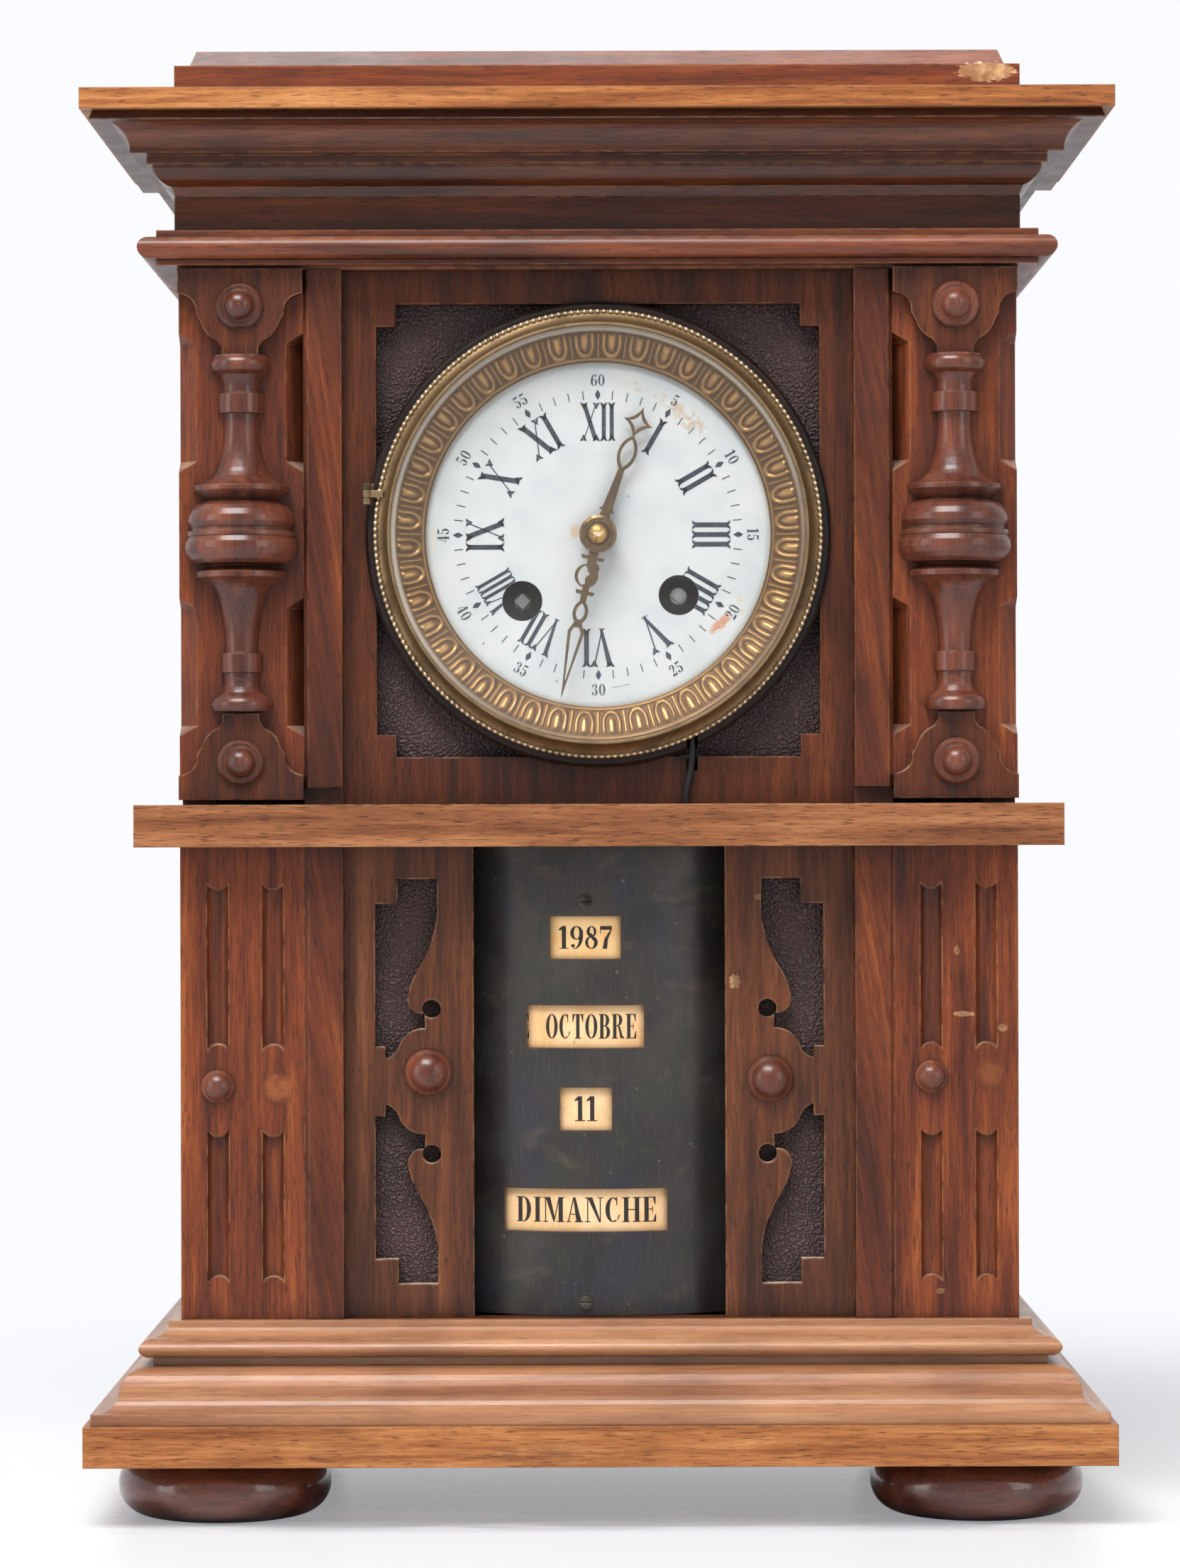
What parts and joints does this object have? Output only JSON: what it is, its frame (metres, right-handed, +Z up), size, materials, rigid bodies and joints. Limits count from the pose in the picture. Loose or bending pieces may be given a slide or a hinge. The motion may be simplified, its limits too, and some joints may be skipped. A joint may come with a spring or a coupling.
{
  "type": "calendar clock",
  "caption": "Free-standing wooden mantel clock with a glazed enamel dial over a calendar of turning drums seen through windows, on bun feet.",
  "frame": {"origin": "middle of the footprint on the ground, under the centre of the clock", "axes": "+Z up, front of the clock facing -Y, +X to the right seen from the front"},
  "size_m": [0.29, 0.16, 0.4189],
  "materials": {
    "dark_walnut": "french polish, semi-gloss",
    "red_walnut": "french polish, semi-gloss",
    "golden_walnut": "french polish, worn satin",
    "turned_walnut": "french polish, gloss",
    "leather": "embossed, matte",
    "enamel": "vitreous gloss",
    "brass": "aged satin",
    "gilt_brass": "stamped, gilt",
    "olive_brass": "dull, toned",
    "bronze_steel": "bronze-brown, satin",
    "steel": "satin",
    "black_sheet": "black, worn satin",
    "black_wire": "black, satin",
    "label_paper": "aged, matte",
    "glass": "clear, domed"
  },
  "bodies": {
    "case": {"bun_feet": "dark_walnut", "base_board": "golden_walnut", "base_ogee_moulding": "golden_walnut", "base_bead_moulding": "golden_walnut", "lower_sides": "dark_walnut", "upper_sides": "dark_walnut", "front_rails": "dark_walnut", "shelf_board": "golden_walnut", "torus_moulding": "dark_walnut", "frieze_moulding": "dark_walnut", "cornice_moulding": "dark_walnut", "top_board": "golden_walnut", "cap_board": "dark_walnut", "hinge_leaves": "brass", "lower_pilaster_left": "red_walnut", "lower_pilaster_right": "red_walnut", "turned_bosses": "turned_walnut", "front_strips": "red_walnut", "fret_panel_left": "red_walnut", "fret_panel_right": "red_walnut", "leather_boards": "leather", "calendar_mask": "black_sheet", "mask_screws": "steel", "drum_spindle": "steel", "upper_pilasters": "red_walnut", "half_balusters": "turned_walnut", "pilaster_brackets": "red_walnut", "dial_frame": "red_walnut", "dial_ring": "dark_walnut", "enamel_dial": "enamel", "movement_front_plate": "brass", "movement_back_plate": "brass", "bell": "brass"},
    "bezel": {"bezel_ring": "olive_brass", "bezel_glass": "glass", "bezel_slip": "gilt_brass"},
    "back_door": {"back_door": "dark_walnut", "door_hinge_leaves": "brass", "door_pull": "brass"},
    "centre": {"centre_arbor": "brass"},
    "minute": {"cannon_pinion": "brass", "minute_hand": "bronze_steel", "hand_nut": "brass"},
    "hour": {"hour_wheel": "brass", "hour_hand": "bronze_steel"},
    "minute_wheel": {"minute_wheel": "brass"},
    "going_barrel": {"going_barrel": "brass"},
    "going_arbor": {"going_arbor": "steel"},
    "strike_barrel": {"strike_barrel": "brass"},
    "intermediate": {"intermediate_wheel": "brass"},
    "third": {"third_wheel": "brass"},
    "escape": {"escape_wheel": "brass"},
    "pallets": {"pallet_arbor": "steel"},
    "pendulum": {"pendulum": "brass"},
    "hammer": {"bell_hammer": "steel"},
    "trip_rod": {"trip_rod": "black_wire"},
    "year_drum": {"year_drum": "label_paper"},
    "month_drum": {"month_drum": "label_paper"},
    "date_drum": {"date_drum": "label_paper"},
    "weekday_drum": {"weekday_drum": "label_paper"}
  },
  "joints": [
    {"name": "bezel_hinge", "type": "hinge", "parent": "case", "child": "bezel", "pos_m": [-0.0659, -0.056, 0.2917], "axis": [0, 0, -1], "range_deg": [0, 110]},
    {"name": "back_door_hinge", "type": "hinge", "parent": "case", "child": "back_door", "pos_m": [-0.1102, 0.0782, 0.2], "axis": [0, 0, 1], "range_deg": [0, 110]},
    {"name": "minute_turn", "type": "hinge", "parent": "case", "child": "minute", "pos_m": [0, -0.019, 0.2802], "axis": [0, 1, 0], "continuous": true},
    {"name": "hour_turn", "type": "hinge", "parent": "case", "child": "hour", "pos_m": [0, -0.019, 0.2802], "axis": [0, 1, 0], "continuous": true},
    {"name": "minute_wheel_turn", "type": "hinge", "parent": "case", "child": "minute_wheel", "pos_m": [-0.00063, -0.019, 0.29819], "axis": [0, 1, 0], "continuous": true},
    {"name": "going_barrel_turn", "type": "hinge", "parent": "case", "child": "going_barrel", "pos_m": [-0.02175, -0.019, 0.26133], "axis": [0, 1, 0], "continuous": true},
    {"name": "going_arbor_wind", "type": "hinge", "parent": "case", "child": "going_arbor", "pos_m": [-0.02175, -0.019, 0.26133], "axis": [0, 1, 0], "continuous": true},
    {"name": "strike_barrel_wind", "type": "hinge", "parent": "case", "child": "strike_barrel", "pos_m": [0.02302, -0.019, 0.26289], "axis": [0, 1, 0], "continuous": true},
    {"name": "centre_turn", "type": "hinge", "parent": "case", "child": "centre", "pos_m": [0, -0.019, 0.2802], "axis": [0, 1, 0], "continuous": true},
    {"name": "intermediate_turn", "type": "hinge", "parent": "case", "child": "intermediate", "pos_m": [-0.0158, -0.019, 0.28458], "axis": [0, 1, 0], "continuous": true},
    {"name": "third_turn", "type": "hinge", "parent": "case", "child": "third", "pos_m": [0.00584, -0.019, 0.29403], "axis": [0, 1, 0], "continuous": true},
    {"name": "escape_turn", "type": "hinge", "parent": "case", "child": "escape", "pos_m": [-0.00084, -0.019, 0.30419], "axis": [0, 1, 0], "continuous": true},
    {"name": "pallet_swing", "type": "hinge", "parent": "case", "child": "pallets", "pos_m": [-0.00133, -0.019, 0.31818], "axis": [0, 1, 0], "range_deg": [-3.5, 3.5]},
    {"name": "pendulum_swing", "type": "hinge", "parent": "case", "child": "pendulum", "pos_m": [-0.00133, 0.01, 0.31818], "axis": [0, 1, 0], "range_deg": [-3.5, 3.5]},
    {"name": "hammer_lift", "type": "hinge", "parent": "case", "child": "hammer", "pos_m": [0.03756, 0, 0.29352], "axis": [0, 1, 0], "range_deg": [0, 12], "stiffness_Nm_per_rad": 0.02, "springref_deg": -5.73},
    {"name": "trip_slide", "type": "slide", "parent": "case", "child": "trip_rod", "axis": [0, 0, -1], "range_m": [0, 0.003], "stiffness_N_per_m": 50, "springref_m": -0.002},
    {"name": "year_drum_turn", "type": "hinge", "parent": "case", "child": "year_drum", "pos_m": [0, 0.0115, 0.1649], "axis": [0, 0, 1], "continuous": true},
    {"name": "month_drum_turn", "type": "hinge", "parent": "case", "child": "month_drum", "pos_m": [0, 0.0115, 0.1394], "axis": [0, 0, 1], "continuous": true},
    {"name": "date_drum_turn", "type": "hinge", "parent": "case", "child": "date_drum", "pos_m": [0, 0.0115, 0.1158], "axis": [0, 0, 1], "continuous": true},
    {"name": "weekday_drum_turn", "type": "hinge", "parent": "case", "child": "weekday_drum", "pos_m": [0, 0.0115, 0.0868], "axis": [0, 0, 1], "continuous": true}
  ],
  "couplings": [
    {"joint": "hour_turn", "follows": "minute_turn", "ratio": 0.083333},
    {"joint": "minute_wheel_turn", "follows": "minute_turn", "ratio": -0.33333},
    {"joint": "third_turn", "follows": "escape_turn", "ratio": -0.08},
    {"joint": "centre_turn", "follows": "escape_turn", "ratio": 0.0066667},
    {"joint": "intermediate_turn", "follows": "escape_turn", "ratio": -0.00092593},
    {"joint": "going_barrel_turn", "follows": "escape_turn", "ratio": 0.00013228},
    {"joint": "pallet_swing", "follows": "pendulum_swing", "ratio": 1}
  ]
}
